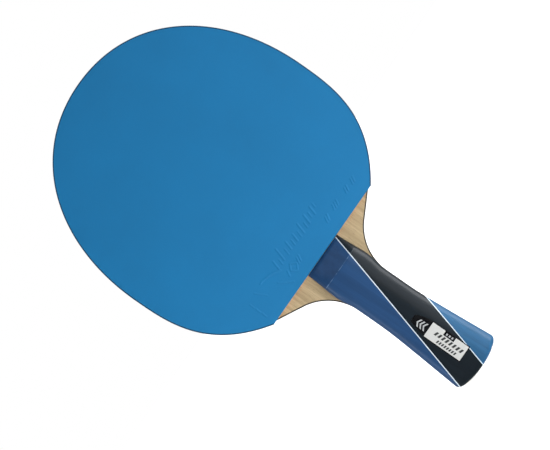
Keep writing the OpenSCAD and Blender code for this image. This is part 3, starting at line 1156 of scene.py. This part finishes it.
def badge():
    """Plate and foil with plain marks: two rows of dark bars, three pale squares, three chevrons."""
    plate = badge_black_material()
    foil = badge_silver_material()
    dark = ink_material("badge_ink_dark", (0.03, 0.031, 0.033))
    pale = ink_material("badge_ink_pale", (0.42, 0.43, 0.44))
    badge_piece("badge_plate", "badge_black", [badge_corners()], -PLATE_SUNK, PLATE_RISE, plate,
                "badge_backing")
    badge_piece("badge_foil", "badge_silver", [panel_corners()], PLATE_RISE, PANEL_RISE, foil,
                "badge_panel")
    long_row = [slanted(-0.8, 13.4 + 2.25 * n, 1.25, 2.2, -0.9) for n in range(8)]
    short_row = [slanted(-3.5, 15.4 + 1.55 * n, 0.9, 1.6, -0.5) for n in range(8)]
    bars = long_row + short_row
    badge_piece("badge_dark_bars", "badge_black", bars, PANEL_RISE, PANEL_RISE + INK, dark)
    squares = [slanted(2.6, 20.7 + 1.7 * n, 0.9, 1.1, 0.0) for n in range(3)]
    arrows = [arrow(35.4 + 1.9 * n) for n in range(3)]
    marks = squares + arrows
    badge_piece("badge_pale_marks", "badge_silver", marks, PLATE_RISE, PLATE_RISE + PALE_INK, pale)


# ---------------------------------------------------------------- studio
FLOOR_NEAR = 0.4
FLOOR_FAR = 60.0
FLOOR_SIDES = 96
OVERHEAD = 3.8
OVERHEAD_SHARE = 0.25
OVERHEAD_ANGLE = math.radians(40)
ROOM = 0.30
ROOM_TINT = (0.9, 0.95, 1, 1)


def floor_material():
    m = Shader("studio_floor", 0.9, Specular_IOR_Level=0.0)
    cloud = m.noise(m.stretched(400, 400, 400), 2, 0.5)
    m.colour(m.ramp(cloud, (0.3, (0.93, 0.93, 0.93)), (0.7, (0.95, 0.95, 0.95))))
    return m.material


def floor_ring(name, radii, material):
    """A ring of floor through the given radii in metres, kept out of mirror reflections."""
    vertices = []
    for radius in radii:
        for n in range(FLOOR_SIDES):
            a = 2 * math.pi * n / FLOOR_SIDES
            vertices.append((radius / MM * math.cos(a), radius / MM * math.sin(a), 0))
    floor = mesh_piece(name, vertices, ring_faces(len(radii), FLOOR_SIDES), material)
    floor.visible_glossy = False
    return floor


def studio():
    """A white floor out to the horizon, lit from above; only its near part throws light back up."""
    material = floor_material()
    near = floor_ring("floor_near", (0.0005, 0.05, FLOOR_NEAR), material)
    far = floor_ring("floor_far", (FLOOR_NEAR, 2.0, FLOOR_FAR), material)
    far.visible_diffuse = False
    lit = bpy.data.collections.new("lit_from_above")
    lit.objects.link(near)
    lit.objects.link(far)
    for name, share in (("overhead", OVERHEAD_SHARE), ("overhead_fill", 1 - OVERHEAD_SHARE)):
        lamp = bpy.data.lights.new(name, "SUN")
        lamp.energy = OVERHEAD * share
        lamp.angle = OVERHEAD_ANGLE
        lamp.use_shadow = name == "overhead"
        made = bpy.data.objects.new(name, lamp)
        made.light_linking.receiver_collection = lit
        bpy.context.scene.collection.objects.link(made)


def world():
    """Pure white behind everything, but a dim grey room to the lit surfaces."""
    made = bpy.data.worlds.new("studio")
    bpy.context.scene.world = made
    made.use_nodes = True
    tree = made.node_tree
    seen = tree.nodes["Background"]
    seen.inputs["Color"].default_value = (1, 1, 1, 1)
    room = tree.nodes.new("ShaderNodeBackground")
    room.inputs["Color"].default_value = ROOM_TINT
    room.inputs["Strength"].default_value = ROOM
    path = tree.nodes.new("ShaderNodeLightPath")
    mix = tree.nodes.new("ShaderNodeMixShader")
    tree.links.new(path.outputs["Is Camera Ray"], mix.inputs[0])
    tree.links.new(room.outputs[0], mix.inputs[1])
    tree.links.new(seen.outputs[0], mix.inputs[2])
    tree.links.new(mix.outputs[0], tree.nodes["World Output"].inputs["Surface"])


def softbox(name, azimuth, elevation, distance, size, power):
    """A soft rectangular light that looks at the middle of the paddle; metres, degrees and watts."""
    lamp = bpy.data.lights.new(name, "AREA")
    lamp.shape = "RECTANGLE"
    lamp.size = size[0]
    lamp.size_y = size[1]
    lamp.energy = power
    made = bpy.data.objects.new(name, lamp)
    a = math.radians(azimuth)
    e = math.radians(elevation)
    back = Vector((math.sin(a) * math.cos(e), -math.cos(a) * math.cos(e), math.sin(e)))
    made.location = Vector((0, 0, BLADE_TOP / 2 * MM)) + back * distance
    made.rotation_euler = (-back).to_track_quat("-Z", "Y").to_euler()
    made.visible_camera = False
    bpy.context.scene.collection.objects.link(made)


def lights():
    """Soft light from both sides, in front, above and behind."""
    softbox("key", 92, -2, 0.75, (0.5, 0.5), 4.9)
    softbox("front_right", 50, -2, 0.85, (1.1, 0.5), 3.6)
    softbox("above", 0, 54, 1.2, (0.9, 0.7), 1.6)
    softbox("fill", -92, -2, 0.8, (0.25, 0.3), 1.0)
    softbox("back_left", 215, 30, 1.8, (1.4, 1.4), 16)
    softbox("back_right", 130, 20, 1.8, (1.0, 1.4), 8)


LENS = 135.0
SENSOR = 36.0
VIEW_WIDTH = 287.4
ROLL = 55.082
AIM = Vector((-1.286, 0, 130.555))


def camera():
    """Looks straight at the front face, rolled so that the handle points down to the right."""
    lens = bpy.data.cameras.new("camera")
    lens.lens = LENS
    lens.sensor_width = SENSOR
    made = bpy.data.objects.new("camera", lens)
    made.location = (AIM + Vector((0, -SHEET_OUT - VIEW_WIDTH * LENS / SENSOR, 0))) * MM
    made.rotation_euler = (math.pi / 2, math.radians(ROLL), 0)
    bpy.context.scene.collection.objects.link(made)
    bpy.context.scene.camera = made


camera()
studio()
world()
lights()
bpy.context.scene.view_settings.view_transform = "Standard"
blade()
coverings()
handle()
badge()
